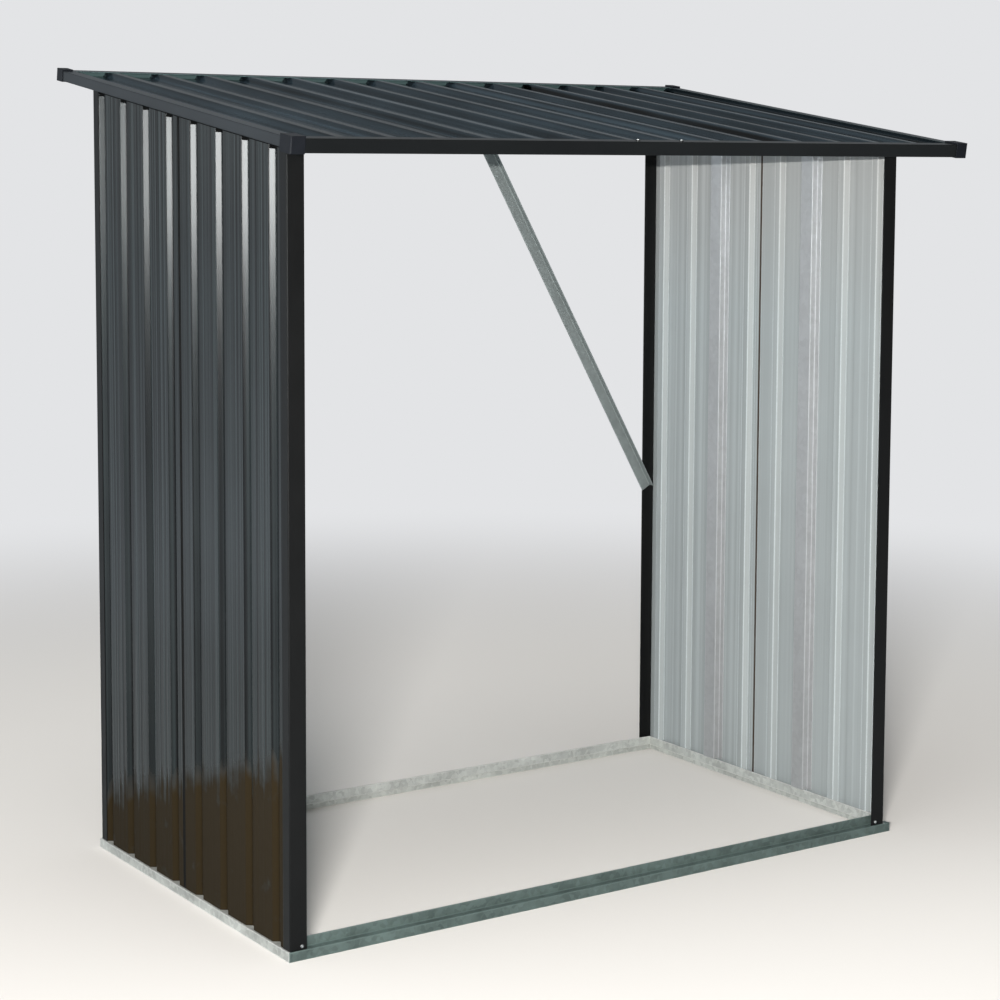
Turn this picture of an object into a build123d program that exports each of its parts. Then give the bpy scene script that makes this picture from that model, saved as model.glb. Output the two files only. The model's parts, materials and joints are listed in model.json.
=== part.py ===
"""Open log store of ribbed steel sheet with a lean-to roof, built as separate solids.

Millimetres, +Z up, the open front faces -Y, and the ground is at Z = 0. The origin is under the
middle of the part. Walls and roof are the same ribbed sheet: wide flats with narrow ribs, turned
into the store on the walls and upward on the roof.
"""
import os
from math import cos, radians, sin, tan

from build123d import *

os.makedirs("parts", exist_ok=True)

# Driving sizes of the store
store_width = 1395.0
store_depth = 788.0
front_height = 1417.5
roof_slope = 8.3
side_overhang = 62.5
front_overhang = 131.0
back_overhang = 24.0

# Ribbed sheet
sheet = 0.8
rib_spacing = 100.0
rib_opening = 30.0
rib_depth = 10.0
rib_angle = 55.0
sheet_lap = 14.0
wall_first_rib = 37.5
wall_edge_land = 20.0
wall_top_gap = 6.0
roof_edge_rib = 10.0
roof_sheet_count = 3

# Folded steel profiles
steel = 1.2
bend = 2.0
post_face = 33.5
post_side = 24.0
rail_proud = 3.0
rail_leg = 17.5
rail_web = 18.0
rail_tail = 12.0
beam_drop = 28.0
beam_flange = 20.0
top_rail_drop = 22.0
top_rail_flange = 19.0
stiffener_width = 36.0
stiffener_depth = 15.0
stiffener_flange = 13.0
stiffener_ribs_from_seam = 2
brace_face = 25.0
brace_edge = 15.0
brace_foot = 619.0
brace_angle = 29.9

# Roof edge trims and their corner caps
trim = 1.0
fascia_height = 24.5
trim_height = 19.0
trim_flange = 26.0
trim_lip = 12.0
cap_wall = 1.6
cap_crown = 3.6
cap_face = 28.0
cap_side = 36.0
cap_back_face = 22.0
cap_back_side = 28.0
cap_round = 3.0

# Clearance where the end of a sheet stops inside a fold
end_gap = 0.2

# Places that follow from the sizes
slope = radians(roof_slope)
half_width = store_width / 2
roof_width = store_width + 2 * side_overhang
roof_run = store_depth + front_overhang + back_overhang
roof_length = roof_run / cos(slope)
cap_front_reach = cap_wall * cos(slope) + cap_crown * sin(slope)
cap_back_reach = cap_wall * cos(slope) + (trim_height + cap_wall) * sin(slope)
roof_front = -(roof_run + cap_back_reach - cap_front_reach) / 2
front_y = roof_front + front_overhang
back_y = front_y + store_depth
sheet_drop = trim + rib_depth + sheet
sheet_face = half_width - steel
rib_face = sheet_face - rib_depth - sheet
rail_top = rail_leg + rail_web
wall_rib_count = int((store_depth - wall_first_rib - rib_opening / 2 - wall_edge_land) / rib_spacing) + 1
roof_pitch_count = round((roof_width - 2 * roof_edge_rib) / rib_spacing)
roof_pitch = (roof_width - 2 * roof_edge_rib) / roof_pitch_count

across = Vector(1, 0, 0)
deep = Vector(0, 1, 0)
up = Vector(0, 0, 1)
up_slope = Vector(0, cos(slope), sin(slope))
off_roof = Vector(0, -sin(slope), cos(slope))
roof_origin = Vector(0, roof_front, front_height)


def roof_plane(drop):
    """Plane parallel to the roof, so far below the top of its trims."""
    return Plane(origin=roof_origin - off_roof * drop, x_dir=across, z_dir=off_roof)


def roof_z(y, drop):
    """Height of that plane at a place along the depth."""
    return front_height + (y - roof_front) * tan(slope) - drop / cos(slope)


def export(part, name):
    """Label one solid and write its STEP file."""
    part.label = name
    export_step(part, f"parts/{name}.step")


def angle_section(face, side, thickness):
    """Folded angle with its outer corner at the origin, one flange along X and one along Y."""
    with BuildSketch() as section:
        Rectangle(face, side, align=(Align.MIN, Align.MIN))
        fillet(section.vertices().sort_by_distance((0, 0))[0], radius=bend)
        with Locations((thickness, thickness)):
            Rectangle(face, side, align=(Align.MIN, Align.MIN), mode=Mode.SUBTRACT)
        fillet(
            section.vertices().sort_by_distance((thickness, thickness))[0],
            radius=max(bend - thickness, thickness / 4),
        )
    return section.sketch


def sheet_section(length, first_rib, spacing, rib_count, lap):
    """Ribbed sheet from X = 0, its flats on Y = 0 and its ribs upward, with a lap at its start."""
    flank = sheet / sin(radians(rib_angle))
    ribs = [(first_rib + spacing * i, 0) for i in range(rib_count)]
    with BuildSketch() as section:
        Rectangle(length, sheet, align=(Align.MIN, Align.MIN))
        with Locations(*ribs):
            Trapezoid(rib_opening + 2 * flank, rib_depth + sheet, rib_angle, align=(Align.CENTER, Align.MIN))
            Trapezoid(rib_opening, rib_depth, rib_angle, align=(Align.CENTER, Align.MIN), mode=Mode.SUBTRACT)
        Rectangle(length, rib_depth + sheet, align=(Align.MIN, Align.MIN), mode=Mode.INTERSECT)
        if lap:
            with Locations((-sheet_lap, sheet)):
                Rectangle(sheet_lap + 2 * sheet, sheet, align=(Align.MIN, Align.MIN))
    return section.sketch


def mitred_bar(section, start, along, inward, length):
    """One side of a rectangular frame, from corner to corner, mitred at both ends."""
    end = start + along * length
    with BuildPart() as bar:
        with BuildSketch(Plane(origin=start, x_dir=inward, z_dir=along)):
            add(section)
        extrude(amount=length)
        split(bisect_by=Plane(origin=start, z_dir=along - inward), keep=Keep.TOP)
        split(bisect_by=Plane(origin=end, z_dir=-along - inward), keep=Keep.TOP)
    return bar.part


# Base frame: outer leg on the ground, ledge that carries posts and sheets, web behind the sheets
rail_ledge = rail_proud + steel + rib_depth + sheet
with BuildSketch() as rail_section:
    Rectangle(steel, rail_leg, align=(Align.MIN, Align.MIN))
    with Locations((0, rail_leg - steel)):
        Rectangle(rail_ledge + steel, steel, align=(Align.MIN, Align.MIN))
    with Locations((rail_ledge, rail_leg - steel)):
        Rectangle(steel, rail_web + steel, align=(Align.MIN, Align.MIN))

rail_x = half_width + rail_proud
rail_front = front_y - rail_proud
rail_back = back_y + rail_proud
rail_depth = rail_back - rail_front
rail_sides = {
    "front": (Vector(-rail_x, rail_front, 0), across, deep, 2 * rail_x),
    "right": (Vector(rail_x, rail_front, 0), deep, across * -1, rail_depth),
    "back": (Vector(rail_x, rail_back, 0), across * -1, deep * -1, 2 * rail_x),
    "left": (Vector(-rail_x, rail_back, 0), deep * -1, across, rail_depth),
}
rails = {
    side: mitred_bar(rail_section.sketch, start, along, inward, length)
    for side, (start, along, inward, length) in rail_sides.items()
}

# The front rail runs on past the right-hand post, and the right-hand rail stops behind it
with BuildPart() as rail_end:
    with BuildSketch(Plane(origin=(rail_x - steel, rail_front, 0), x_dir=deep, z_dir=across)):
        Rectangle(steel, rail_leg, align=(Align.MIN, Align.MIN))
    extrude(amount=steel + rail_tail)
    with BuildSketch(Plane(origin=(rail_x, rail_front, rail_leg), x_dir=deep, z_dir=across)):
        Rectangle(rail_ledge, steel, align=(Align.MIN, Align.MAX))
    extrude(amount=rail_tail)
rails["front"] += rail_end.part
rails["right"] -= rail_end.part
for side, rail in rails.items():
    export(rail, f"base_rail_{side}")

# Corner posts: angles outside the sheets, from the ledge to the underside of the roof sheets
post_section = angle_section(post_face, post_side, steel)
post_corners = {
    "front": Plane(origin=(-half_width, front_y, rail_leg), x_dir=across, z_dir=up),
    "back": Plane(origin=(-half_width, back_y, rail_leg), x_dir=across, z_dir=up * -1),
}
for end, corner in post_corners.items():
    with BuildPart() as corner_post:
        with BuildSketch(corner):
            add(post_section)
        extrude(amount=2 * front_height, dir=up)
        split(bisect_by=roof_plane(sheet_drop), keep=Keep.BOTTOM)
    export(corner_post.part, f"corner_post_{end}_left")
    export(corner_post.part.mirror(Plane.YZ), f"corner_post_{end}_right")

# Side walls: two ribbed sheets each, the front one lapped behind the edge of the back one, and both
# stopping a little short of the roof
sheet_end = max(bend, steel)
wall_run = store_depth - 2 * sheet_end
back_ribs = (wall_rib_count + 1) // 2
seam = 2 * wall_first_rib + (back_ribs - 1) * rib_spacing - sheet_end
first_front_rib = wall_first_rib - sheet_end + back_ribs * rib_spacing - seam
wall_sections = {
    "back": (0, sheet_section(seam, wall_first_rib - sheet_end, rib_spacing, back_ribs, lap=False)),
    "front": (
        seam + end_gap,
        sheet_section(
            wall_run - seam - end_gap,
            first_front_rib - end_gap,
            rib_spacing,
            wall_rib_count - back_ribs,
            lap=True,
        ),
    ),
}
for end, (reach, section) in wall_sections.items():
    edge = Vector(-sheet_face, back_y - sheet_end - reach, rail_leg)
    with BuildPart() as wall_sheet:
        with BuildSketch(Plane(origin=edge, x_dir=deep * -1, z_dir=up)):
            add(section)
        extrude(amount=2 * front_height)
        split(bisect_by=roof_plane(sheet_drop + wall_top_gap), keep=Keep.BOTTOM)
    export(wall_sheet.part, f"wall_sheet_left_{end}")
    export(wall_sheet.part.mirror(Plane.YZ), f"wall_sheet_right_{end}")

# Upright stiffeners: hat sections over one rib in each wall sheet, flanges on the flats beside it
hat_base = stiffener_width + 2 * stiffener_flange
with BuildSketch() as hat_section:
    Rectangle(hat_base, steel, align=(Align.CENTER, Align.MIN))
    Rectangle(stiffener_width, stiffener_depth, align=(Align.CENTER, Align.MIN))
    Rectangle(
        stiffener_width - 2 * steel,
        stiffener_depth - steel,
        align=(Align.CENTER, Align.MIN),
        mode=Mode.SUBTRACT,
    )
stiffened_ribs = {
    "back": back_ribs - stiffener_ribs_from_seam,
    "front": back_ribs + stiffener_ribs_from_seam - 1,
}
for end, rib in stiffened_ribs.items():
    rib_y = back_y - wall_first_rib - rib * rib_spacing
    with BuildPart() as stiffener:
        with BuildSketch(Plane(origin=(sheet - sheet_face, rib_y, rail_top), x_dir=deep * -1, z_dir=up)):
            add(hat_section.sketch)
        extrude(amount=2 * front_height)
        split(bisect_by=roof_plane(sheet_drop + top_rail_drop), keep=Keep.BOTTOM)
    export(stiffener.part, f"wall_stiffener_left_{end}")
    export(stiffener.part.mirror(Plane.YZ), f"wall_stiffener_right_{end}")

# Wall top rails: angles against the ribs, under the roof sheets, between the two cross beams
rail_run = store_depth - 2 * steel - 2 * beam_flange
rail_start = roof_origin + up_slope * ((front_overhang + steel + beam_flange) / cos(slope))
rail_start += across * -rib_face - off_roof * sheet_drop
with BuildPart() as wall_top_rail:
    with BuildSketch(Plane(origin=rail_start, x_dir=across, z_dir=up_slope)):
        add(angle_section(top_rail_flange, top_rail_drop, steel))
    extrude(amount=rail_run / cos(slope))
export(wall_top_rail.part, "wall_top_rail_left")
export(wall_top_rail.part.mirror(Plane.YZ), "wall_top_rail_right")


def cross_beam(outer_y, inward, half_length):
    """Angle under the roof sheets: an upright flange at a place along the depth, a flange inward."""
    face_y = outer_y + inward * steel
    edge_y = outer_y + inward * beam_flange
    foot_z = roof_z(outer_y, sheet_drop) - beam_drop
    with BuildPart() as beam:
        with BuildSketch(Plane.YZ):
            with BuildLine():
                Polyline(
                    (outer_y, foot_z),
                    (outer_y, roof_z(outer_y, sheet_drop)),
                    (edge_y, roof_z(edge_y, sheet_drop)),
                    (edge_y, roof_z(edge_y, sheet_drop + steel)),
                    (face_y, roof_z(face_y, sheet_drop + steel)),
                    (face_y, foot_z),
                    close=True,
                )
            make_face()
        extrude(amount=half_length, both=True)
    return beam.part


# Cross beams: the front one behind the posts, the back one level with them so that braces lie flat
export(cross_beam(front_y + steel, 1, rib_face), "front_beam")
export(cross_beam(back_y, -1, half_width - post_face), "back_beam")

# Diagonal brace across the open back, from the right-hand post up to the back beam: an angle with
# its face flat on them and its edge turned toward the front
lean = radians(brace_angle)
brace_up = Vector(-sin(lean), 0, cos(lean))
brace_out = Vector(cos(lean), 0, sin(lean))
brace_start = Vector(half_width - post_face, back_y - steel, brace_foot)
with BuildPart() as brace_back_right:
    with BuildSketch(Plane(origin=brace_start, x_dir=brace_out, z_dir=brace_up)):
        Rectangle(brace_face, steel, align=(Align.MIN, Align.MAX))
        with Locations((brace_face, 0)):
            Rectangle(steel, brace_edge, align=(Align.MAX, Align.MAX))
    extrude(amount=2 * front_height)
    split(bisect_by=roof_plane(sheet_drop + steel), keep=Keep.BOTTOM)
export(brace_back_right.part, "brace_back_right")

# Roof sheets: side by side, each lapped onto the one before, ribs up the slope
roof_reach = roof_width / 2 - trim - end_gap
cuts = [round(roof_pitch_count * i / roof_sheet_count) for i in range(roof_sheet_count + 1)]
first_rib_x = -roof_width / 2 + roof_edge_rib
seams = [first_rib_x + (cut - 0.5) * roof_pitch for cut in cuts]
seams[0] = -roof_reach
seams[-1] = roof_reach
for i, name in enumerate(("left", "middle", "right")):
    left = seams[i] + (end_gap if i else 0)
    first = cuts[i]
    last = cuts[i + 1] if i == roof_sheet_count - 1 else cuts[i + 1] - 1
    start = roof_origin + across * left + up_slope * (roof_length - trim - end_gap) - off_roof * sheet_drop
    with BuildPart() as roof_sheet:
        with BuildSketch(Plane(origin=start, x_dir=across, z_dir=up_slope * -1)):
            add(
                sheet_section(
                    seams[i + 1] - left,
                    first_rib_x + first * roof_pitch - left,
                    roof_pitch,
                    last - first + 1,
                    lap=i > 0,
                )
            )
        extrude(amount=roof_length - 2 * (trim + end_gap))
    export(roof_sheet.part, f"roof_sheet_{name}")


def trim_section(height):
    """Channel open toward the roof, with its upper flange just under Y = 0."""
    with BuildSketch() as section:
        with Locations((0, -height)):
            Rectangle(trim, height, align=(Align.MIN, Align.MIN))
            Rectangle(trim_lip, trim, align=(Align.MIN, Align.MIN))
        Rectangle(trim_flange, trim, align=(Align.MIN, Align.MAX))
    return section.sketch


# Roof edge trims: upper flange on the ribs, mitred at the corners, the fascia taller than the others
roof_corner = {
    "front_left": roof_origin - across * (roof_width / 2),
    "front_right": roof_origin + across * (roof_width / 2),
    "back_right": roof_origin + across * (roof_width / 2) + up_slope * roof_length,
    "back_left": roof_origin - across * (roof_width / 2) + up_slope * roof_length,
}
down_slope = up_slope * -1
to_left = across * -1
roof_edges = {
    "fascia_front": ("front_left", across, up_slope, roof_width, fascia_height),
    "roof_trim_right": ("front_right", up_slope, to_left, roof_length, trim_height),
    "roof_trim_back": ("back_right", to_left, down_slope, roof_width, trim_height),
    "roof_trim_left": ("back_left", down_slope, across, roof_length, trim_height),
}
for name, (corner, along, inward, length, height) in roof_edges.items():
    export(mitred_bar(trim_section(height), roof_corner[corner], along, inward, length), name)

# Corner caps: moulded shells that close over the mitre, above, below and on both outer sides
cap_sizes = {
    "front": (cap_face, cap_side, fascia_height),
    "back": (cap_back_face, cap_back_side, trim_height),
}
for corner, start in roof_corner.items():
    end, side = corner.split("_")
    face, run, depth = cap_sizes[end]
    outer = (-cap_wall if side == "left" else cap_wall, -cap_wall if end == "front" else cap_wall)
    span = (
        Align.MIN if side == "left" else Align.MAX,
        Align.MIN if end == "front" else Align.MAX,
    )
    roof_top = Plane(origin=start, x_dir=across, z_dir=off_roof)
    with BuildPart() as corner_cap:
        with BuildSketch(roof_top.offset(cap_crown)) as outline:
            with Locations(outer):
                Rectangle(face, run, align=span)
            fillet(outline.vertices().sort_by_distance(outer)[0], radius=cap_round)
        extrude(amount=-(cap_crown + depth + cap_wall))
        with BuildSketch(roof_top):
            Rectangle(face, run, align=span)
        extrude(amount=-depth, mode=Mode.SUBTRACT)
    export(corner_cap.part, f"corner_cap_{corner}")
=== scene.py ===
"""Finishes, screws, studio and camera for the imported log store.

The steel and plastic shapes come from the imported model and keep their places. This script gives them
their paint, zinc and plastic finishes, seats the screws on them and builds the studio round them.
"""

import json
import math

import bmesh
import bpy
from bpy.props import FloatProperty, FloatVectorProperty, PointerProperty
from mathutils import Matrix, Vector

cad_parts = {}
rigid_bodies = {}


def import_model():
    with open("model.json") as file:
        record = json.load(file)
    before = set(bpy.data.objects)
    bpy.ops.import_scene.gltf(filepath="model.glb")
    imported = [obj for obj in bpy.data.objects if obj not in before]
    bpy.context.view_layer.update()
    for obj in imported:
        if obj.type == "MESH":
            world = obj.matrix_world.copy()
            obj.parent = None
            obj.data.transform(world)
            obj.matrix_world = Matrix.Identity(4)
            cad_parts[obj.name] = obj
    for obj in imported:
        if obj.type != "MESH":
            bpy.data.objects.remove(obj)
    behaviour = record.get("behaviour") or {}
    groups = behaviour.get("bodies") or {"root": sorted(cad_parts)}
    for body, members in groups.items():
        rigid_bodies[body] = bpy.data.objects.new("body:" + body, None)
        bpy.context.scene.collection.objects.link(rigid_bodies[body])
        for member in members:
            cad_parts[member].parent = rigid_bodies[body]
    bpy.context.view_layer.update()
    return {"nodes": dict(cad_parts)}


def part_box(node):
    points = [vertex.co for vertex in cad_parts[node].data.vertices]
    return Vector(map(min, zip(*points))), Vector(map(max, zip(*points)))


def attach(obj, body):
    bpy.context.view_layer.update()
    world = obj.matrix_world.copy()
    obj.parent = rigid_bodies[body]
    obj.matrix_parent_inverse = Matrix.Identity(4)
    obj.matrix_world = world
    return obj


# Blender's own start-up objects go before the frame comes in
for startup_object in list(bpy.data.objects):
    bpy.data.objects.remove(startup_object)

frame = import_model()

bl_info = {
    "name": "Log Store Looks",
    "version": (1, 0, 0),
    "blender": (4, 5, 0),
    "location": "3D Viewport > Sidebar > Log Store",
    "description": "Finishes, screws and studio for an open metal log store",
    "category": "Object",
}

MM = 0.001


def linear(hex_colour):
    """Turn an sRGB hex value into linear red, green and blue."""
    channels = [int(hex_colour[i : i + 2], 16) / 255 for i in (1, 3, 5)]
    return [c / 12.92 if c <= 0.04045 else ((c + 0.055) / 1.055) ** 2.4 for c in channels]


def colour_choice(name, description, hex_colour):
    """A colour that a user may change, given as an sRGB hex value."""
    return FloatVectorProperty(
        name=name, description=description, default=linear(hex_colour), min=0, max=1, subtype="COLOR"
    )


class SheetChoices(bpy.types.PropertyGroup):
    """Colours of the ribbed sheets."""

    wall_face: colour_choice("Wall coat", "Top coat on the outside of the walls", "#121414")
    roof_face: colour_choice("Roof coat", "Top coat on the upper side of the roof", "#13171a")
    backing: colour_choice("Backing coat", "Thin grey coat on the inside of every sheet", "#afb7b9")
    # Colour of a painted reflection of the ground, low on the walls
    ground_reflection: colour_choice("Soil", "Splashes of soil low on the walls", "#2c220d")


class ProfileChoices(bpy.types.PropertyGroup):
    """Colours of the posts, beams, trims, rails and caps."""

    post_coat: colour_choice("Post coat", "Powder coat on posts and beams", "#0f0f0f")
    trim_coat: colour_choice("Trim coat", "Top coat on the side and back trims", "#1a1b1d")
    trim_back: colour_choice("Trim inside", "Thin coat on the inside of the trims", "#2a3436")
    back_web: colour_choice("Back trim inside", "Thin coat on the inside of the back trim", "#4c6263")
    # Painted shade: the fascia has the trims' coat, drawn darker
    shaded_fascia_coat: colour_choice("Fascia coat", "Top coat on the fascia", "#0a0a0a")
    zinc: colour_choice("Zinc", "Zinc on the rails", "#d8dbd7")
    # Painted shade: the front rail's zinc, drawn darker than the other rails'
    shaded_front_zinc: colour_choice("Worn zinc", "Zinc on the front rail, which feet and rain dull", "#6c7d7a")
    stiffener_zinc: colour_choice("Smooth zinc", "Evenly rolled zinc on the stiffeners", "#bbbdbf")
    brace_zinc: colour_choice("Brace zinc", "Evenly rolled zinc on the brace", "#979f9f")
    cap: colour_choice("Cap", "Plastic of the corner caps", "#0d1017")


class ScrewChoices(bpy.types.PropertyGroup):
    """Sizes of the screws."""

    head: FloatProperty(
        name="Head", description="Width of a screw head", default=6 * MM, min=2 * MM, unit="LENGTH"
    )
    washer: FloatProperty(
        name="Washer", description="Width of a sealing washer", default=9 * MM, min=3 * MM, unit="LENGTH"
    )
    height: FloatProperty(
        name="Height", description="Height of washer and head", default=3 * MM, min=MM, unit="LENGTH"
    )


class StudioChoices(bpy.types.PropertyGroup):
    """Colours and lights of the studio."""

    floor: colour_choice("Floor", "Colour of the floor", "#e6e4e1")
    backdrop: colour_choice("Backdrop", "Colour behind the object", "#e3e4e6")
    bar_power: FloatProperty(
        name="Bar lamp",
        description="Power of the low thin lamp beside the camera",
        default=230,
        unit="POWER",
    )
    sheen_power: FloatProperty(
        name="Sheen lamp",
        description="Power of the wide lamp that only gloss mirrors",
        default=205,
        unit="POWER",
    )
    top_power: FloatProperty(
        name="Top lamp", description="Power of the soft lamp overhead", default=90, unit="POWER"
    )
    glow: FloatProperty(
        name="Glow", description="Strength of the light from behind on the left", default=0.95, min=0
    )
    room: FloatProperty(
        name="Room", description="Strength of the light from all other sides", default=0.24, min=0
    )


def add(tree, kind, inputs=None, **settings):
    """Add a shader node, with its settings and with values or links for its inputs."""
    node = tree.nodes.new(kind)
    for name, value in settings.items():
        setattr(node, name, value)
    for name, value in (inputs or {}).items():
        if isinstance(value, bpy.types.NodeSocket):
            tree.links.new(value, node.inputs[name])
        else:
            node.inputs[name].default_value = value
    return node


def new_material(name):
    """An empty node material and its tree."""
    material = bpy.data.materials.new(name)
    material.use_nodes = True
    material.node_tree.nodes.clear()
    return material, material.node_tree


def shade(colour, factor):
    """A colour made darker or lighter, with the alpha that a colour socket needs."""
    return [min(1, channel * factor) for channel in colour] + [1]


def rounded_edges(tree, facing, full):
    """Edges that look 3 mm round: the normal there, and how deep in the bend a place is, from 0 to 1.

    facing is the flat face's normal, and full is the cosine of the turn that counts as 1.
    """
    bend = add(tree, "ShaderNodeBevel", {"Radius": 3 * MM}, samples=6).outputs[0]
    turn = add(tree, "ShaderNodeVectorMath", {0: bend, 1: facing}, operation="DOT_PRODUCT").outputs["Value"]
    depth = add(tree, "ShaderNodeMapRange", {"Value": turn, "From Min": 1, "From Max": full}).outputs[0]
    return bend, depth


def top_coat_side(tree, kind, position, facing):
    """1 on faces that point away from the middle of the store and on top of the roof, else 0."""
    outward = 0
    for axis in {"WALL": "X", "TRIM": "XY", "ROOF": ""}[kind]:
        outward = add(
            tree,
            "ShaderNodeMath",
            {0: facing.outputs[axis], 1: position.outputs[axis], 2: outward},
            operation="MULTIPLY_ADD",
        ).outputs[0]
    if kind != "WALL":
        rise = add(tree, "ShaderNodeMath", {0: facing.outputs["Z"], 1: 0.3}, operation="SUBTRACT")
        outward = add(
            tree, "ShaderNodeMath", {0: rise.outputs[0], 1: outward}, operation="MAXIMUM"
        ).outputs[0]
    return add(tree, "ShaderNodeMath", {0: outward, 1: 0.01}, operation="GREATER_THAN").outputs[0]


def sheen_strokes(tree, position, tone):
    """The walls' tone with fine strokes some 7 mm apart, a painted reflection of the fine lines in the
    sheet's face.
    """
    strokes = add(
        tree,
        "ShaderNodeTexNoise",
        {"W": position.outputs["Y"], "Scale": 1 / (7 * MM), "Detail": 1},
        noise_dimensions="1D",
    ).outputs[0]
    strokes = add(
        tree,
        "ShaderNodeMapRange",
        {"Value": strokes, "From Min": 0.3, "From Max": 0.7, "To Min": -0.5, "To Max": 0.5},
    ).outputs[0]
    return add(
        tree, "ShaderNodeMath", {0: tone, 1: strokes}, operation="ADD", use_clamp=True
    ).outputs[0]


def painted_ground_reflection(tree, place, position, lines):
    """How strongly a reflection of the ground is painted on a wall, from 0 to 1.

    It reaches 100 mm high at the back and 340 mm at the front, with an edge made uneven by the
    rolled lines and by patches about 40 mm across.
    """
    level = add(
        tree,
        "ShaderNodeMath",
        {0: position.outputs["Y"], 1: 0.3, 2: position.outputs["Z"]},
        operation="MULTIPLY_ADD",
    ).outputs[0]
    level = add(
        tree, "ShaderNodeMath", {0: lines, 1: 0.12, 2: level}, operation="MULTIPLY_ADD"
    ).outputs[0]
    low = add(
        tree,
        "ShaderNodeMapRange",
        {"Value": level, "From Min": 0.36, "From Max": 0.24},
        interpolation_type="SMOOTHSTEP",
    ).outputs[0]
    patches = add(
        tree, "ShaderNodeTexNoise", {"Vector": place, "Scale": 1 / (40 * MM), "Detail": 5}
    ).outputs[0]
    ground_reflection = add(tree, "ShaderNodeMath", {0: low, 1: patches}, operation="MULTIPLY").outputs[0]
    return add(tree, "ShaderNodeMapRange", {"Value": ground_reflection, "From Min": 0.05, "From Max": 0.38}).outputs[0]


def lap_damp_and_painted_shade(tree, position, outside, seam, eaves):
    """1 where a wall is stained or painted with shade, else 0.

    Outside, a painted shadow of the lap's edge runs along the cut edge of the lap, 10 mm wide; inside,
    damp leaves a line there 5 mm wide. Painted shade from the trim lies outside above the eaves' line,
    and 6.5 mm further down in the grooves. eaves is that line's slope, its height at y = 0 and the
    wall's outermost x.
    """
    slope, height, outermost = eaves
    # Painted shadow of the lap's edge outside, a damp line inside
    half_width = add(
        tree, "ShaderNodeMath", {0: outside, 1: 2.5 * MM, 2: 2.5 * MM}, operation="MULTIPLY_ADD"
    ).outputs[0]
    lap_shadow_and_damp = add(
        tree, "ShaderNodeMath", {0: position.outputs["Y"], 1: seam, 2: half_width}, operation="COMPARE"
    ).outputs[0]
    # Painted shade under the trim's edge, reaching deeper in the grooves
    span = add(tree, "ShaderNodeMath", {0: position.outputs["X"]}, operation="ABSOLUTE").outputs[0]
    inset = add(tree, "ShaderNodeMath", {0: outermost, 1: span}, operation="SUBTRACT").outputs[0]
    groove = add(tree, "ShaderNodeMath", {0: inset, 1: MM}, operation="GREATER_THAN").outputs[0]
    reach = add(
        tree, "ShaderNodeMath", {0: groove, 1: 6.5 * MM, 2: 1.5 * MM}, operation="MULTIPLY_ADD"
    ).outputs[0]
    line = add(
        tree, "ShaderNodeMath", {0: position.outputs["Y"], 1: slope, 2: height}, operation="MULTIPLY_ADD"
    ).outputs[0]
    under = add(
        tree, "ShaderNodeMath", {0: line, 1: position.outputs["Z"]}, operation="SUBTRACT"
    ).outputs[0]
    eaves_shade = add(tree, "ShaderNodeMath", {0: under, 1: reach}, operation="LESS_THAN").outputs[0]
    eaves_shade = add(tree, "ShaderNodeMath", {0: eaves_shade, 1: outside}, operation="MULTIPLY").outputs[0]
    return add(tree, "ShaderNodeMath", {0: lap_shadow_and_damp, 1: eaves_shade}, operation="MAXIMUM").outputs[0]


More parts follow.
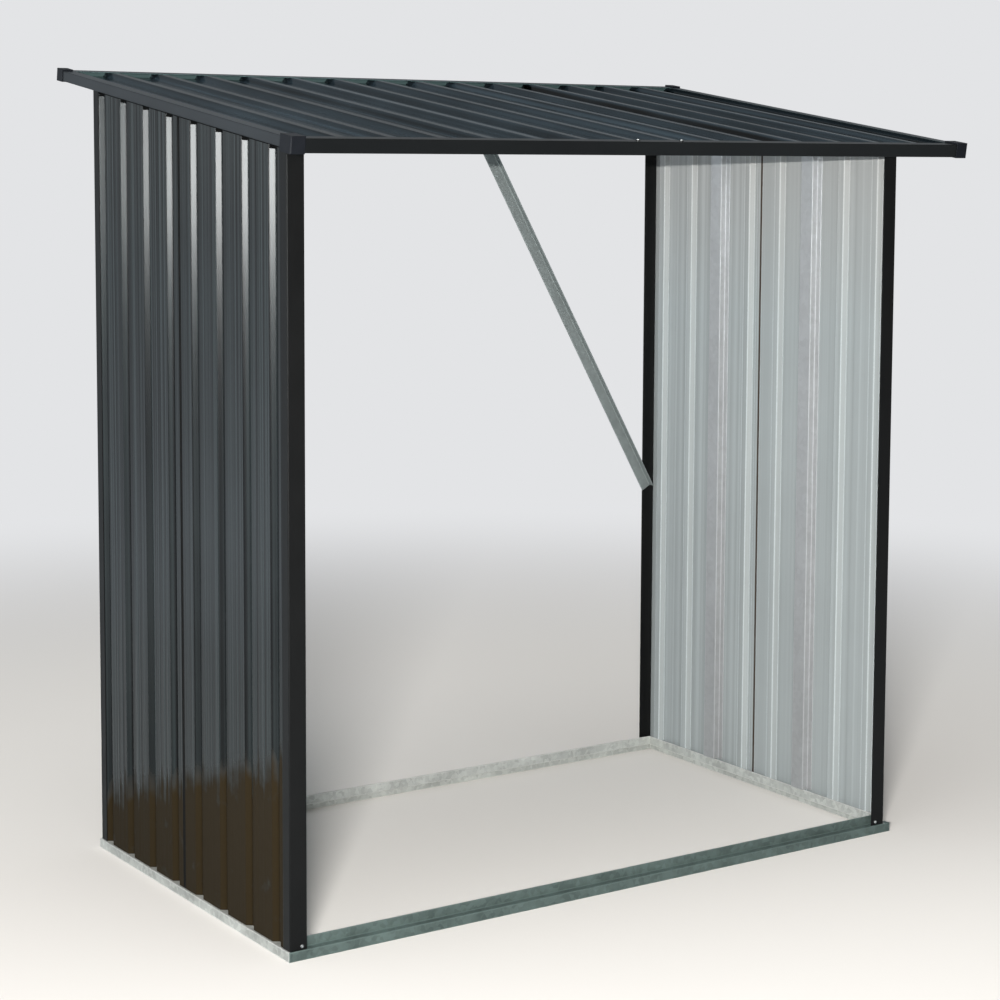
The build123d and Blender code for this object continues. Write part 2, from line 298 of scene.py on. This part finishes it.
def coil_coated_sheet(name, kind, face, backing, gloss, ground_reflection=None, seam=None, eaves=None):
    """Steel strip coated flat in a coil, satin polyester outside and grey backing inside, then folded.

    The eye gets a satin coat with fine lines along the ribs, where the rolls pressed the sheet, whose
    lighter teal tone is a painted reflection, and a paler, duller inside with painted highlights on its
    bends. kind is WALL, ROOF or TRIM, and a trim has no lines. A wall also has the colour of a painted
    reflection of the ground, the y of the seam where its two sheets lap, and the line under the eaves,
    above which shade is painted.
    """
    material, tree = new_material(name)
    spot = add(tree, "ShaderNodeNewGeometry")
    place = spot.outputs["Position"]
    position = add(tree, "ShaderNodeSeparateXYZ", {0: place})
    facing = add(tree, "ShaderNodeSeparateXYZ", {0: spot.outputs["True Normal"]})
    outside = top_coat_side(tree, kind, position, facing)

    # Uneven rolled lines some 20 mm apart with finer ones between, and drifts of tone 300 mm long
    lines = 0.5
    if kind != "TRIM":
        across = position.outputs["X" if kind == "ROOF" else "Y"]
        lines = add(
            tree,
            "ShaderNodeTexNoise",
            {"W": across, "Scale": 1 / (20 * MM), "Detail": 2, "Roughness": 0.75},
            noise_dimensions="1D",
        ).outputs[0]
    drift = add(
        tree, "ShaderNodeTexNoise", {"Vector": place, "Scale": 1 / (300 * MM), "Detail": 3}
    ).outputs[0]
    tone = add(
        tree, "ShaderNodeMath", {0: drift, 1: 0.3, 2: lines}, operation="MULTIPLY_ADD"
    ).outputs[0]
    tone = add(
        tree, "ShaderNodeMapRange", {"Value": tone, "From Min": 0.45, "From Max": 0.85}
    ).outputs[0]

    # The backing's tone follows the rolled lines, and its bends are drawn paler as painted highlights
    back_tone = add(
        tree,
        "ShaderNodeMix",
        {0: tone, 6: shade(backing, 0.88), 7: shade(backing, 1.1)},
        data_type="RGBA",
    ).outputs[2]
    bend, bend_highlight = rounded_edges(tree, spot.outputs["True Normal"], 0.99)
    bend_highlight = add(
        tree, "ShaderNodeMath", {0: bend_highlight, 1: outside}, operation="SUBTRACT", use_clamp=True
    ).outputs[0]
    back_tone = add(
        tree, "ShaderNodeMix", {0: bend_highlight, 6: back_tone, 7: shade(backing, 1.65)}, data_type="RGBA"
    ).outputs[2]

    # The top coat's tone goes from black to lighter lines that lean to teal; the lighter lines are a
    # painted reflection of the sheen that the rolled lines catch
    if kind == "WALL":
        tone = sheen_strokes(tree, position, tone)
    painted_sheen = [channel * factor for channel, factor in zip(face, (4.4, 5.1, 5.4))] + [1]
    face_tone = add(
        tree, "ShaderNodeMix", {0: tone, 6: shade(face, 0), 7: painted_sheen}, data_type="RGBA"
    ).outputs[2]
    rough = gloss

    if kind == "WALL":
        # Painted shade: the backing is drawn browner and darker over its top 400 mm, under the roof
        tint_factor = add(
            tree,
            "ShaderNodeMapRange",
            {"Value": position.outputs["Z"], "From Min": 1.05, "From Max": 1.45},
        ).outputs[0]
        back_tone = add(
            tree,
            "ShaderNodeMix",
            {0: tint_factor, 6: back_tone, 7: (0.99, 0.91, 0.88, 1)},
            data_type="RGBA",
            blend_type="MULTIPLY",
        ).outputs[2]
        # Painted reflection of the ground, low on the walls and dull, so that the coat mirrors nothing over
        # it
        reflection_mask = painted_ground_reflection(tree, place, position, lines)
        face_tone = add(
            tree, "ShaderNodeMix", {0: reflection_mask, 6: face_tone, 7: shade(ground_reflection, 1)}, data_type="RGBA"
        ).outputs[2]
        rough = add(
            tree, "ShaderNodeMapRange", {"Value": reflection_mask, "To Min": gloss, "To Max": 0.95}
        ).outputs[0]

    colour = add(
        tree, "ShaderNodeMix", {0: outside, 6: back_tone, 7: face_tone}, data_type="RGBA"
    ).outputs[2]
    rough = add(
        tree, "ShaderNodeMix", {0: outside, 2: 0.5, 3: rough}, data_type="FLOAT"
    ).outputs[0]
    if kind == "WALL":
        # The painted shade and shadow are black outside, the damp line is rusty inside, and all are dull
        stain_and_shade = lap_damp_and_painted_shade(tree, position, outside, seam, eaves)
        rough = add(tree, "ShaderNodeMath", {0: stain_and_shade, 1: rough}, operation="MAXIMUM").outputs[0]
        stain = add(
            tree,
            "ShaderNodeMix",
            {0: outside, 6: shade(linear("#4a4038"), 1), 7: shade(face, 0.15)},
            data_type="RGBA",
        ).outputs[2]
        colour = add(
            tree, "ShaderNodeMix", {0: stain_and_shade, 6: colour, 7: stain}, data_type="RGBA"
        ).outputs[2]

    # Orange peel of the coat is under 1 mm, drawn at 5 mm so that it shows at all
    peel = add(
        tree, "ShaderNodeTexNoise", {"Vector": place, "Scale": 1 / (5 * MM), "Detail": 2}
    ).outputs[0]
    relief = add(
        tree, "ShaderNodeMath", {0: peel, 1: 0.03, 2: lines}, operation="MULTIPLY_ADD"
    ).outputs[0]
    # The flanks of the ribs are drawn smooth in the rolls, so only the flats have lines
    flat = 1
    if kind != "TRIM":
        straight = facing.outputs["X" if kind == "WALL" else "Z"]
        straight = add(tree, "ShaderNodeMath", {0: straight}, operation="ABSOLUTE").outputs[0]
        flat = add(tree, "ShaderNodeMath", {0: straight, 1: 0.8}, operation="GREATER_THAN").outputs[0]
    bump = add(
        tree,
        "ShaderNodeBump",
        {"Strength": flat, "Distance": 1.3 * MM, "Height": relief, "Normal": bend},
    )
    surface = add(
        tree,
        "ShaderNodeBsdfPrincipled",
        {
            "Base Color": colour,
            "Roughness": rough,
            "Normal": bump.outputs[0],
            "IOR": 1.5,
            "Specular IOR Level": 0.4,
        },
    )
    add(tree, "ShaderNodeOutputMaterial", {"Surface": surface.outputs[0]})
    return material


def powder_coat(name, colour, rough):
    """Polyester powder baked on folded steel: an even near-black satin with a faint grain."""
    material, tree = new_material(name)
    spot = add(tree, "ShaderNodeNewGeometry").outputs["Position"]
    # Handling marks some 60 mm apart, and powder grain of 0.5 mm drawn at 3 mm so that it shows
    drift = add(
        tree, "ShaderNodeTexNoise", {"Vector": spot, "Scale": 1 / (60 * MM), "Detail": 4}
    ).outputs[0]
    grain = add(tree, "ShaderNodeTexNoise", {"Vector": spot, "Scale": 1 / (3 * MM), "Detail": 2}).outputs[0]
    tone = add(
        tree, "ShaderNodeMix", {0: drift, 6: shade(colour, 0.8), 7: shade(colour, 1.25)}, data_type="RGBA"
    ).outputs[2]
    gloss = add(
        tree, "ShaderNodeMapRange", {"Value": drift, "To Min": rough - 0.08, "To Max": rough + 0.08}
    ).outputs[0]
    bend = add(tree, "ShaderNodeBevel", {"Radius": 2.5 * MM}, samples=4)
    bump = add(
        tree,
        "ShaderNodeBump",
        {"Strength": 0.3, "Distance": 0.1 * MM, "Height": grain, "Normal": bend.outputs[0]},
    )
    surface = add(
        tree,
        "ShaderNodeBsdfPrincipled",
        {
            "Base Color": tone,
            "Roughness": gloss,
            "Normal": bump.outputs[0],
            "IOR": 1.5,
            "Specular IOR Level": 0.3,
        },
    )
    add(tree, "ShaderNodeOutputMaterial", {"Surface": surface.outputs[0]})
    return material


def hot_dip_galvanised(name, colour, contrast):
    """Steel strip dipped in zinc: crystals of slightly different greys under a dull pale bloom.

    contrast is how far the crystals and the bloom part from the middle grey.
    """
    material, tree = new_material(name)
    here = add(tree, "ShaderNodeNewGeometry")
    spot, facing = here.outputs["Position"], here.outputs["True Normal"]
    # Zinc crystals are about 9 mm across, and the bloom over them drifts every 60 mm
    crystals = add(
        tree, "ShaderNodeTexVoronoi", {"Vector": spot, "Scale": 1 / (9 * MM)}, feature="F1"
    ).outputs["Color"]
    crystal = add(tree, "ShaderNodeSeparateColor", {0: crystals})
    bloom = add(
        tree, "ShaderNodeTexNoise", {"Vector": spot, "Scale": 1 / (60 * MM), "Detail": 6}
    ).outputs[0]
    mixed = add(
        tree, "ShaderNodeMath", {0: crystal.outputs[0], 1: 0.35, 2: bloom}, operation="MULTIPLY_ADD"
    ).outputs[0]
    tone = add(tree, "ShaderNodeMapRange", {"Value": mixed, "From Min": 0.35, "From Max": 1}).outputs[0]
    zinc = add(
        tree,
        "ShaderNodeMix",
        {0: tone, 6: shade(colour, 1 - contrast), 7: shade(colour, 1 + contrast)},
        data_type="RGBA",
    ).outputs[2]
    rough = add(
        tree, "ShaderNodeMapRange", {"Value": crystal.outputs[1], "To Min": 0.36, "To Max": 0.5}
    ).outputs[0]
    # Painted highlight: the last 3 mm along every edge is drawn brighter
    bend, edge = rounded_edges(tree, facing, 0.96)
    zinc = add(
        tree, "ShaderNodeMix", {0: edge, 6: zinc, 7: shade(colour, 1.45)}, data_type="RGBA"
    ).outputs[2]
    bump = add(
        tree,
        "ShaderNodeBump",
        {"Strength": 0.3, "Distance": 0.1 * MM, "Height": mixed, "Normal": bend},
    )
    surface = add(
        tree,
        "ShaderNodeBsdfPrincipled",
        {"Base Color": zinc, "Metallic": 0.4, "Roughness": rough, "Normal": bump.outputs[0]},
    )
    add(tree, "ShaderNodeOutputMaterial", {"Surface": surface.outputs[0]})
    return material


def moulded_polypropylene(name, colour):
    """Polypropylene moulded in an etched tool: blue-black, with a fine even grain and soft edges."""
    material, tree = new_material(name)
    spot = add(tree, "ShaderNodeNewGeometry").outputs["Position"]
    # Etched grain of 0.4 mm drawn at 2 mm so that it shows, and rubbed places some 15 mm apart
    grain = add(tree, "ShaderNodeTexNoise", {"Vector": spot, "Scale": 1 / (2 * MM), "Detail": 2}).outputs[0]
    rubs = add(tree, "ShaderNodeTexNoise", {"Vector": spot, "Scale": 1 / (15 * MM), "Detail": 5}).outputs[0]
    tone = add(
        tree, "ShaderNodeMix", {0: rubs, 6: shade(colour, 0.75), 7: shade(colour, 1.4)}, data_type="RGBA"
    ).outputs[2]
    rough = add(tree, "ShaderNodeMapRange", {"Value": rubs, "To Min": 0.42, "To Max": 0.6}).outputs[0]
    edge = add(tree, "ShaderNodeBevel", {"Radius": 1.5 * MM}, samples=4)
    bump = add(
        tree,
        "ShaderNodeBump",
        {"Strength": 0.4, "Distance": 0.12 * MM, "Height": grain, "Normal": edge.outputs[0]},
    )
    surface = add(
        tree,
        "ShaderNodeBsdfPrincipled",
        {
            "Base Color": tone,
            "Roughness": rough,
            "Normal": bump.outputs[0],
            "IOR": 1.49,
            "Specular IOR Level": 0.35,
        },
    )
    add(tree, "ShaderNodeOutputMaterial", {"Surface": surface.outputs[0]})
    return material


def zinc_plated_screw():
    """Steel screw plated bright in a zinc bath: small clean highlights with faint bath stains."""
    material, tree = new_material("zinc_plated_screw")
    spot = add(tree, "ShaderNodeNewGeometry").outputs["Position"]
    stain = add(tree, "ShaderNodeTexNoise", {"Vector": spot, "Scale": 1 / (3 * MM), "Detail": 3}).outputs[0]
    tone = add(
        tree,
        "ShaderNodeMix",
        {0: stain, 6: shade(linear("#b9bcbd"), 1), 7: shade(linear("#e9eae8"), 1)},
        data_type="RGBA",
    ).outputs[2]
    rough = add(tree, "ShaderNodeMapRange", {"Value": stain, "To Min": 0.25, "To Max": 0.4}).outputs[0]
    surface = add(
        tree, "ShaderNodeBsdfPrincipled", {"Base Color": tone, "Metallic": 1, "Roughness": rough}
    )
    add(tree, "ShaderNodeOutputMaterial", {"Surface": surface.outputs[0]})
    return material


def moulded_rubber_washer():
    """Black rubber pressed in a mould: matt, a little dusty."""
    material, tree = new_material("moulded_rubber_washer")
    spot = add(tree, "ShaderNodeNewGeometry").outputs["Position"]
    tint_factor = add(tree, "ShaderNodeTexNoise", {"Vector": spot, "Scale": 1 / (2 * MM), "Detail": 3}).outputs[0]
    tone = add(
        tree,
        "ShaderNodeMix",
        {0: tint_factor, 6: shade(linear("#0b0b0c"), 1), 7: shade(linear("#1b1b1c"), 1)},
        data_type="RGBA",
    ).outputs[2]
    surface = add(tree, "ShaderNodeBsdfPrincipled", {"Base Color": tone, "Roughness": 0.8, "IOR": 1.52})
    add(tree, "ShaderNodeOutputMaterial", {"Surface": surface.outputs[0]})
    return material


def dress(nodes, material):
    """Give CAD nodes a finish and leave their shapes as imported."""
    for name in nodes:
        for slot in frame["nodes"][name].material_slots:
            slot.material = material


def nodes_named(*starts):
    """Names of the CAD nodes that begin with any of the given words."""
    return [name for name in sorted(frame["nodes"]) if name.startswith(starts)]


def seat(node, start, direction):
    """Where a line from a point first meets a CAD node, and the way that its surface faces there."""
    hit, place, normal, _ = frame["nodes"][node].ray_cast(Vector(start), Vector(direction))
    if not hit:
        raise RuntimeError(f"no surface of {node} for a screw")
    return place, normal


def add_screw(mesh, place, normal, sizes):
    """Add a pan head screw with a cross recess on a sealing washer."""
    head = sizes.head / 2
    washer = sizes.washer / 2
    rise = sizes.height
    # Radius and height of each ring, from the washer's foot to the middle of the head
    rings = [
        (washer, 0),
        (washer, 0.25 * rise),
        (washer - 0.1 * rise, 0.35 * rise),
        (head * 1.05, 0.38 * rise),
        (head, 0.38 * rise),
        (head, 0.6 * rise),
        (head * 0.92, 0.78 * rise),
        (head * 0.68, 0.92 * rise),
        (head * 0.4, 0.98 * rise),
        (head * 0.14, rise),
    ]
    steps = 16
    turn = normal.to_track_quat("Z", "Y").to_matrix().to_4x4()
    there = Matrix.Translation(place) @ turn
    loops = []
    for radius, height in rings:
        angles = [2 * math.pi * (i + 0.5) / steps for i in range(steps)]
        corners = [Vector((radius * math.cos(a), radius * math.sin(a), height)) for a in angles]
        loops.append([mesh.verts.new(there @ corner) for corner in corners])
    # The first rings are the washer, and the cross is cut in the last ones, on every fourth side
    first_head_ring = 4
    first_cross_ring = 7
    recess = []
    for ring, (lower, upper) in enumerate(zip(loops, loops[1:])):
        for i in range(steps):
            j = (i + 1) % steps
            face = mesh.faces.new((lower[i], lower[j], upper[j], upper[i]))
            face.smooth = True
            face.material_index = 0 if ring >= first_head_ring else 1
            if ring >= first_cross_ring and j % 4 == 0:
                recess.append(face)
    recess.append(mesh.faces.new(loops[-1]))
    mesh.faces.new(list(reversed(loops[0]))).material_index = 1
    cut = bmesh.ops.extrude_face_region(mesh, geom=recess)
    moved = [item for item in cut["geom"] if isinstance(item, bmesh.types.BMVert)]
    bmesh.ops.translate(mesh, verts=moved, vec=normal * (-0.3 * rise))
    bmesh.ops.delete(mesh, geom=recess, context="FACES")


def screw_set(name, seats):
    """One piece with a screw on each seat."""
    sizes = bpy.context.scene.log_store_screws
    mesh = bmesh.new()
    for place, normal in seats:
        add_screw(mesh, place, normal, sizes)
    bmesh.ops.recalc_face_normals(mesh, faces=mesh.faces)
    data = bpy.data.meshes.new(name)
    mesh.to_mesh(data)
    mesh.free()
    for finish in ("zinc_plated_screw", "moulded_rubber_washer"):
        data.materials.append(bpy.data.materials[finish])
    piece = bpy.data.objects.new(name, data)
    bpy.context.collection.objects.link(piece)
    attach(piece, "root")


class LOGSTORE_OT_coat_sheets(bpy.types.Operator):
    """Coat the ribbed wall and roof sheets and the roof trims"""

    bl_idname = "log_store.coat_sheets"
    bl_label = "Coat Sheets and Trims"

    def execute(self, context):
        sheets = context.scene.log_store_sheets
        profiles = context.scene.log_store_profiles
        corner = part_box("wall_sheet_left_back")[0]
        seam = corner.y
        outermost = -corner.x
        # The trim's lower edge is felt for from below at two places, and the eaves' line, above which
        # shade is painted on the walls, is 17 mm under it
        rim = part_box("roof_trim_left")[0].x + 0.5 * MM
        low, high = (seat("roof_trim_left", (rim, y, 1), (0, 0, 1))[0] for y in (-0.2, 0.2))
        slope = (high.z - low.z) / (high.y - low.y)
        eaves = (slope, low.z - slope * low.y - 17 * MM, outermost)
        finishes = {
            "wall_sheet": coil_coated_sheet(
                "coil_coated_wall_sheet",
                "WALL",
                sheets.wall_face,
                sheets.backing,
                0.18,
                sheets.ground_reflection,
                seam,
                eaves,
            ),
            "roof_sheet": coil_coated_sheet(
                "coil_coated_roof_sheet", "ROOF", sheets.roof_face, sheets.backing, 0.2
            ),
            "roof_trim": coil_coated_sheet(
                "coil_coated_side_trim", "TRIM", profiles.trim_coat, profiles.trim_back, 0.32
            ),
            "roof_trim_back": coil_coated_sheet(
                "coil_coated_back_trim", "TRIM", profiles.trim_coat, profiles.back_web, 0.32
            ),
            # The fascia's coat is a darker copy of the trims' coat, as painted shade
            "fascia": coil_coated_sheet(
                "coil_coated_fascia", "TRIM", profiles.shaded_fascia_coat, profiles.trim_back, 0.32
            ),
        }
        for start, finish in finishes.items():
            dress(nodes_named(start), finish)
        return {"FINISHED"}


class LOGSTORE_OT_coat_profiles(bpy.types.Operator):
    """Coat the posts, beams and wall top rails"""

    bl_idname = "log_store.coat_profiles"
    bl_label = "Coat Posts and Beams"

    def execute(self, context):
        posts = powder_coat("powder_coated_post", context.scene.log_store_profiles.post_coat, 0.45)
        dress(nodes_named("corner_post", "front_beam", "back_beam", "wall_top_rail"), posts)
        return {"FINISHED"}


class LOGSTORE_OT_galvanise(bpy.types.Operator):
    """Galvanise the base rails, wall stiffeners and brace"""

    bl_idname = "log_store.galvanise"
    bl_label = "Galvanise Rails and Brace"

    def execute(self, context):
        profiles = context.scene.log_store_profiles
        # The rails show their crystals, and the front rail has a darker copy of the zinc as painted shade.
        # Skin passing has rolled them nearly flat on the stiffeners and the brace, which are an even grey
        bright = hot_dip_galvanised("hot_dip_galvanised_rail", profiles.zinc, 0.25)
        dress(nodes_named("base_rail"), bright)
        shaded_front_rail = hot_dip_galvanised("hot_dip_galvanised_front_rail", profiles.shaded_front_zinc, 0.3)
        dress(["base_rail_front"], shaded_front_rail)
        skin = hot_dip_galvanised("skin_passed_zinc_stiffener", profiles.stiffener_zinc, 0.08)
        dress(nodes_named("wall_stiffener"), skin)
        bar = hot_dip_galvanised("skin_passed_zinc_brace", profiles.brace_zinc, 0.1)
        dress(nodes_named("brace"), bar)
        return {"FINISHED"}


class LOGSTORE_OT_mould_caps(bpy.types.Operator):
    """Give the corner caps their moulded plastic"""

    bl_idname = "log_store.mould_caps"
    bl_label = "Mould Corner Caps"

    def execute(self, context):
        plastic = moulded_polypropylene("moulded_polypropylene_cap", context.scene.log_store_profiles.cap)
        dress(nodes_named("corner_cap"), plastic)
        return {"FINISHED"}


class LOGSTORE_OT_seat_screws(bpy.types.Operator):
    """Seat the screws on the fascia and the posts"""

    bl_idname = "log_store.seat_screws"
    bl_label = "Seat Screws"

    def execute(self, context):
        zinc_plated_screw()
        moulded_rubber_washer()
        # Lines towards the seats start 2 m out. Two screws hold the fascia's flange down on the ribs,
        # near the middle and 13 mm behind its face
        out = 2
        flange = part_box("fascia_front")[0].y + 13 * MM
        seats = [seat("fascia_front", (x * MM, flange, out), (0, 0, -1)) for x in (-49, 50)]
        screw_set("fascia_screws", seats)

        # One screw holds each post's foot to the base rail
        seats = []
        for end, way in (("front", -1), ("back", 1)):
            for side, sign in (("left", -1), ("right", 1)):
                start = (sign * 674 * MM, way * out, 24.5 * MM)
                seats.append(seat(f"corner_post_{end}_{side}", start, (0, -way, 0)))
        screw_set("foot_screws", seats)
        return {"FINISHED"}


def lay_floor(choices):
    """Lay the floor, plain and pale near the store, and one with the backdrop from 4.5 m out."""
    mesh = bmesh.new()
    bmesh.ops.create_circle(mesh, cap_ends=True, segments=96, radius=60)
    floor_data = bpy.data.meshes.new("floor")
    mesh.to_mesh(floor_data)
    mesh.free()
    floor = bpy.data.objects.new("floor", floor_data)
    bpy.context.collection.objects.link(floor)
    painted, tree = new_material("painted_studio_floor")
    floor_data.materials.append(painted)
    spot = add(tree, "ShaderNodeNewGeometry").outputs["Position"]
    reach = add(tree, "ShaderNodeVectorMath", {0: spot}, operation="LENGTH").outputs["Value"]
    far = add(
        tree,
        "ShaderNodeMapRange",
        {"Value": reach, "From Min": 1.5, "From Max": 4.5},
        interpolation_type="SMOOTHSTEP",
    ).outputs[0]

    # The camera sees the floor's and the backdrop's colour. The coats mirror a dimmer and cooler floor,
    # near and far, which grows lighter to the left far out
    path = add(tree, "ShaderNodeLightPath")
    seen = path.outputs["Is Camera Ray"]
    paint = add(
        tree,
        "ShaderNodeMix",
        {0: path.outputs["Is Glossy Ray"], 6: shade(choices.floor, 1), 7: (0.6, 0.64, 0.66, 1)},
        data_type="RGBA",
    ).outputs[2]
    near = add(tree, "ShaderNodeBsdfDiffuse", {"Color": paint, "Roughness": 0.5}).outputs[0]
    east = add(tree, "ShaderNodeSeparateXYZ", {0: spot}).outputs["X"]
    east = add(tree, "ShaderNodeMath", {0: east, 1: reach}, operation="DIVIDE").outputs[0]
    mirrored = add(
        tree,
        "ShaderNodeMapRange",
        {"Value": east, "From Min": -0.36, "From Max": -0.62, "To Min": 0.35, "To Max": 1.1},
    ).outputs[0]
    bright = add(tree, "ShaderNodeMix", {0: seen, 2: mirrored, 3: 1}, data_type="FLOAT").outputs[0]
    cool = add(
        tree,
        "ShaderNodeMix",
        {0: seen, 6: (0.7, 0.77, 0.83, 1), 7: shade(choices.backdrop, 1)},
        data_type="RGBA",
    ).outputs[2]
    sweep = add(tree, "ShaderNodeEmission", {"Color": cool, "Strength": bright}).outputs[0]
    blend = add(tree, "ShaderNodeMixShader", {0: far, 1: near, 2: sweep}).outputs[0]
    add(tree, "ShaderNodeOutputMaterial", {"Surface": blend})


def light_room(choices):
    """Light the store with a glow from behind it on the left, which the walls mirror, and a dim room.

    The camera sees only the pale backdrop.
    """
    world = bpy.data.worlds.new("studio")
    world.use_nodes = True
    bpy.context.scene.world = world
    tree = world.node_tree
    tree.nodes.clear()
    direction = add(
        tree, "ShaderNodeSeparateXYZ", {0: add(tree, "ShaderNodeTexCoord").outputs["Generated"]}
    )
    # The glow is where the direction is behind the store, leftward and low
    strength = 1
    for axis, none, full in (("Y", 0.1, 0.6), ("X", -0.32, -0.6), ("Z", 0.5, 0.15)):
        within = add(
            tree,
            "ShaderNodeMapRange",
            {"Value": direction.outputs[axis], "From Min": none, "From Max": full},
            interpolation_type="SMOOTHSTEP",
        ).outputs[0]
        strength = add(
            tree, "ShaderNodeMath", {0: within, 1: strength}, operation="MULTIPLY"
        ).outputs[0]
    strength = add(
        tree, "ShaderNodeMapRange", {"Value": strength, "To Min": choices.room, "To Max": choices.glow}
    ).outputs[0]
    # The front is dimmer, and its light is warm where the light from behind is cool
    back = add(
        tree,
        "ShaderNodeMapRange",
        {"Value": direction.outputs["Y"], "From Min": -0.6, "From Max": 0},
    ).outputs[0]
    dim = add(tree, "ShaderNodeMapRange", {"Value": back, "To Min": 0.4}).outputs[0]
    strength = add(tree, "ShaderNodeMath", {0: strength, 1: dim}, operation="MULTIPLY").outputs[0]
    tint = add(
        tree, "ShaderNodeMix", {0: back, 6: (1.04, 1, 0.94, 1), 7: (0.93, 1, 1.05, 1)}, data_type="RGBA"
    ).outputs[2]
    light = add(tree, "ShaderNodeBackground", {"Color": tint, "Strength": strength}).outputs[0]
    backdrop = add(tree, "ShaderNodeBackground", {"Color": shade(choices.backdrop, 1)}).outputs[0]
    seen = add(tree, "ShaderNodeLightPath").outputs["Is Camera Ray"]
    both = add(tree, "ShaderNodeMixShader", {0: seen, 1: light, 2: backdrop}).outputs[0]
    add(tree, "ShaderNodeOutputWorld", {"Surface": both})


def hang_lamps(choices):
    """Hang a low thin lamp beside the camera, a wide one near it for gloss, and a soft one overhead.

    The thin lamp gives only matt light, and the wide one is only mirrored, by the grooves above all.
    """
    lamps = (
        ("bar_lamp", choices.bar_power, (1, 0.97, 0.93), (-3, -3.9, 1.48), (0, 0, 1.2), (0.7, 0.02)),
        ("sheen_lamp", choices.sheen_power, (0.97, 1, 1), (-2.72, -4.02, 1.48), (0, 0, 1.3), (3.24, 0.8)),
        ("top_lamp", choices.top_power, (1, 1, 1), (-0.5, -0.5, 4.2), (0, 0, 0.8), (3, 3)),
    )
    for name, power, colour, place, target, size in lamps:
        lamp = bpy.data.lights.new(name, "AREA")
        lamp.shape = "RECTANGLE"
        lamp.size, lamp.size_y = size
        lamp.energy = power
        lamp.color = colour
        holder = bpy.data.objects.new(name, lamp)
        holder.location = place
        holder.rotation_euler = (Vector(target) - Vector(place)).to_track_quat("-Z", "Y").to_euler()
        holder.visible_camera = False
        holder.visible_glossy = name != "bar_lamp"
        holder.visible_diffuse = name != "sheen_lamp"
        bpy.context.collection.objects.link(holder)


def place_camera():
    """Place the camera by the position, turn and lens worked out from the photograph's straight edges."""
    yaw = math.radians(34.017)
    pitch = math.radians(5.346)
    roll = math.radians(-0.262)
    position = Vector((-2.5142, -3.6877, 1.3845))
    ahead = Vector(
        (math.sin(yaw) * math.cos(pitch), math.cos(yaw) * math.cos(pitch), -math.sin(pitch))
    )
    level = Vector((math.cos(yaw), -math.sin(yaw), 0))
    down = ahead.cross(level)
    right = level * math.cos(roll) + down * math.sin(roll)
    below = down * math.cos(roll) - level * math.sin(roll)
    axes = Matrix((right, -below, -ahead)).transposed().to_4x4()
    lens = bpy.data.cameras.new("camera")
    lens.sensor_width = 36
    lens.lens = 81.19
    lens.shift_x = -0.0042
    lens.shift_y = -0.1293
    camera = bpy.data.objects.new("camera", lens)
    camera.matrix_world = Matrix.Translation(position) @ axes
    bpy.context.collection.objects.link(camera)
    bpy.context.scene.camera = camera


class LOGSTORE_OT_build_studio(bpy.types.Operator):
    """Build the floor, backdrop, lamps and camera"""

    bl_idname = "log_store.build_studio"
    bl_label = "Build Studio"

    def execute(self, context):
        choices = context.scene.log_store_studio
        context.scene.view_settings.view_transform = "Standard"
        lay_floor(choices)
        light_room(choices)
        hang_lamps(choices)
        place_camera()
        return {"FINISHED"}


OPERATORS = (
    LOGSTORE_OT_coat_sheets,
    LOGSTORE_OT_coat_profiles,
    LOGSTORE_OT_galvanise,
    LOGSTORE_OT_mould_caps,
    LOGSTORE_OT_seat_screws,
    LOGSTORE_OT_build_studio,
)
CHOICES = {
    "log_store_sheets": SheetChoices,
    "log_store_profiles": ProfileChoices,
    "log_store_screws": ScrewChoices,
    "log_store_studio": StudioChoices,
}


class LOGSTORE_PT_looks(bpy.types.Panel):
    """Sizes, colours and steps of the log store"""

    bl_label = "Log Store"
    bl_idname = "LOGSTORE_PT_looks"
    bl_space_type = "VIEW_3D"
    bl_region_type = "UI"
    bl_category = "Log Store"

    def draw(self, context):
        for choice, group in CHOICES.items():
            box = self.layout.box()
            for prop in group.__annotations__:
                box.prop(getattr(context.scene, choice), prop)
        for operator in OPERATORS:
            self.layout.operator(operator.bl_idname)


def register():
    for group in (*CHOICES.values(), *OPERATORS, LOGSTORE_PT_looks):
        bpy.utils.register_class(group)
    for choice, group in CHOICES.items():
        setattr(bpy.types.Scene, choice, PointerProperty(type=group))


def unregister():
    for choice in CHOICES:
        delattr(bpy.types.Scene, choice)
    for group in reversed((*CHOICES.values(), *OPERATORS, LOGSTORE_PT_looks)):
        bpy.utils.unregister_class(group)


def main():
    register()
    bpy.ops.log_store.coat_sheets()
    bpy.ops.log_store.coat_profiles()
    bpy.ops.log_store.galvanise()
    bpy.ops.log_store.mould_caps()
    bpy.ops.log_store.seat_screws()
    bpy.ops.log_store.build_studio()


if __name__ == "__main__":
    main()
